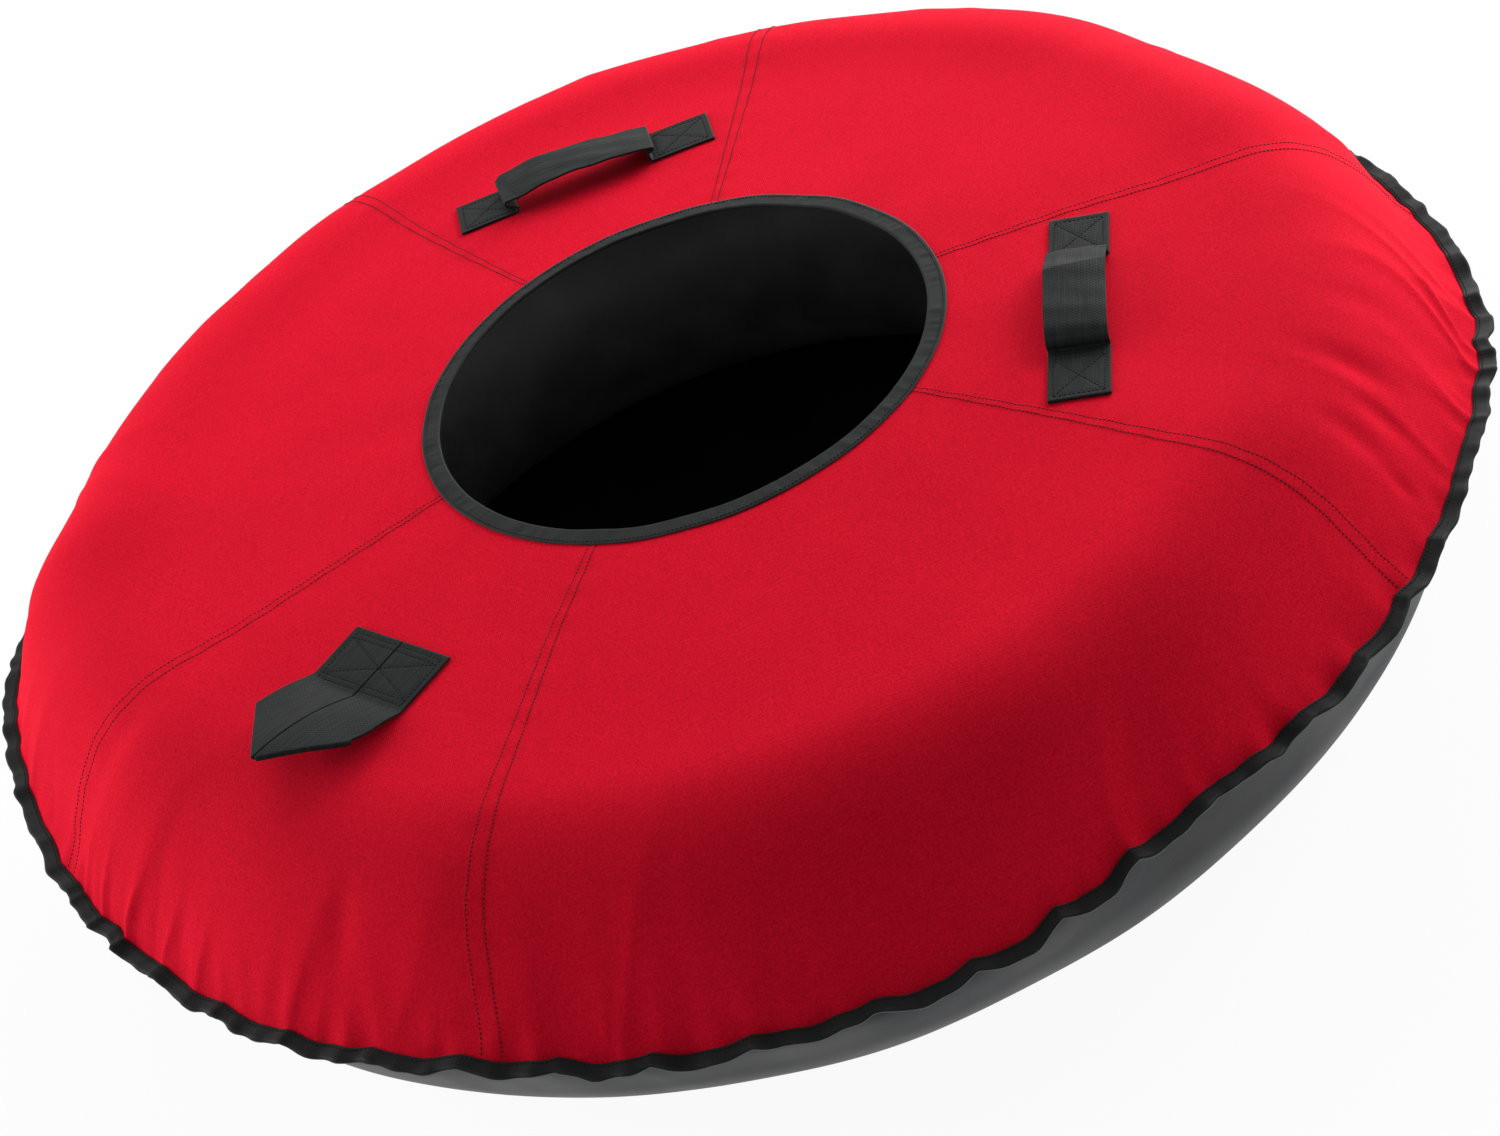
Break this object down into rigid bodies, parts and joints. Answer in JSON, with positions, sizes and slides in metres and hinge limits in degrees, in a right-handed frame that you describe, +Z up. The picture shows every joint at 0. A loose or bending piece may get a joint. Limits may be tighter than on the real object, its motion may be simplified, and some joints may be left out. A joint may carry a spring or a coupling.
{
  "type": "snow tube",
  "caption": "Inflated rubber tube in a sewn cover with a coated floor, bound hole and seam, webbing carrying handles and a folded tow loop.",
  "frame": {"origin": "centre of the flat bottom, on the ground, on the axis of the tube", "axes": "+Z up, along the axis of the tube. -Y towards the side that the picture is taken from, +X to its right. The tow loop is at 217.5 degrees from +X, the handles at 92.4 and 337.2 degrees"},
  "size_m": [1.23, 1.23, 0.3118],
  "materials": {
    "red_oxford": "woven red polyester, matt",
    "coated_fabric": "dark coated fabric, smooth, slight sheen",
    "bias_tape": "dark woven tape, matt",
    "webbing": "dark polypropylene webbing, matt, ribbed",
    "butyl_rubber": "black rubber, smooth, satin",
    "brass": "turned, satin",
    "cap_plastic": "moulded, matt"
  },
  "bodies": {
    "cover": {"top_gore_back_right": "red_oxford", "top_gore_back_handle": "red_oxford", "top_gore_left": "red_oxford", "top_gore_tow_loop": "red_oxford", "top_gore_front": "red_oxford", "top_gore_right_handle": "red_oxford", "bottom_cover": "coated_fabric", "hole_binding": "bias_tape", "edge_binding": "bias_tape", "inner_tube": "butyl_rubber", "back_handle_end_left": "webbing", "back_handle_end_right": "webbing", "right_handle_end_left": "webbing", "right_handle_end_right": "webbing", "tow_loop_end_left": "webbing", "tow_loop_end_right": "webbing", "valve_base": "butyl_rubber", "valve_stem": "brass", "valve_core": "brass"},
    "back_handle_loop": {"back_handle_loop": "webbing"},
    "right_handle_loop": {"right_handle_loop": "webbing"},
    "tow_loop": {"tow_loop": "webbing"},
    "valve_cap": {"valve_cap": "cap_plastic"},
    "valve_pin": {"valve_pin": "brass"}
  },
  "joints": [
    {"name": "back_handle_lift", "type": "slide", "parent": "cover", "child": "back_handle_loop", "axis": [0, 0, 1], "range_m": [0, 0.015]},
    {"name": "right_handle_lift", "type": "slide", "parent": "cover", "child": "right_handle_loop", "axis": [0, 0, 1], "range_m": [0, 0.015]},
    {"name": "tow_loop_fold", "type": "hinge", "parent": "cover", "child": "tow_loop", "pos_m": [-0.31088, -0.23854, 0.28501], "axis": [-0.6088, 0.7934, 0], "range_deg": [-12, 140]},
    {"name": "valve_cap_unscrew", "type": "hinge", "parent": "cover", "child": "valve_cap", "pos_m": [0.1054, -0.28958, 0.13879], "axis": [-0.342, 0.9397, 0], "continuous": true},
    {"name": "valve_pin_press", "type": "slide", "parent": "cover", "child": "valve_pin", "axis": [0.342, -0.9397, 0], "range_m": [0, 0.001], "stiffness_N_per_m": 500}
  ]
}
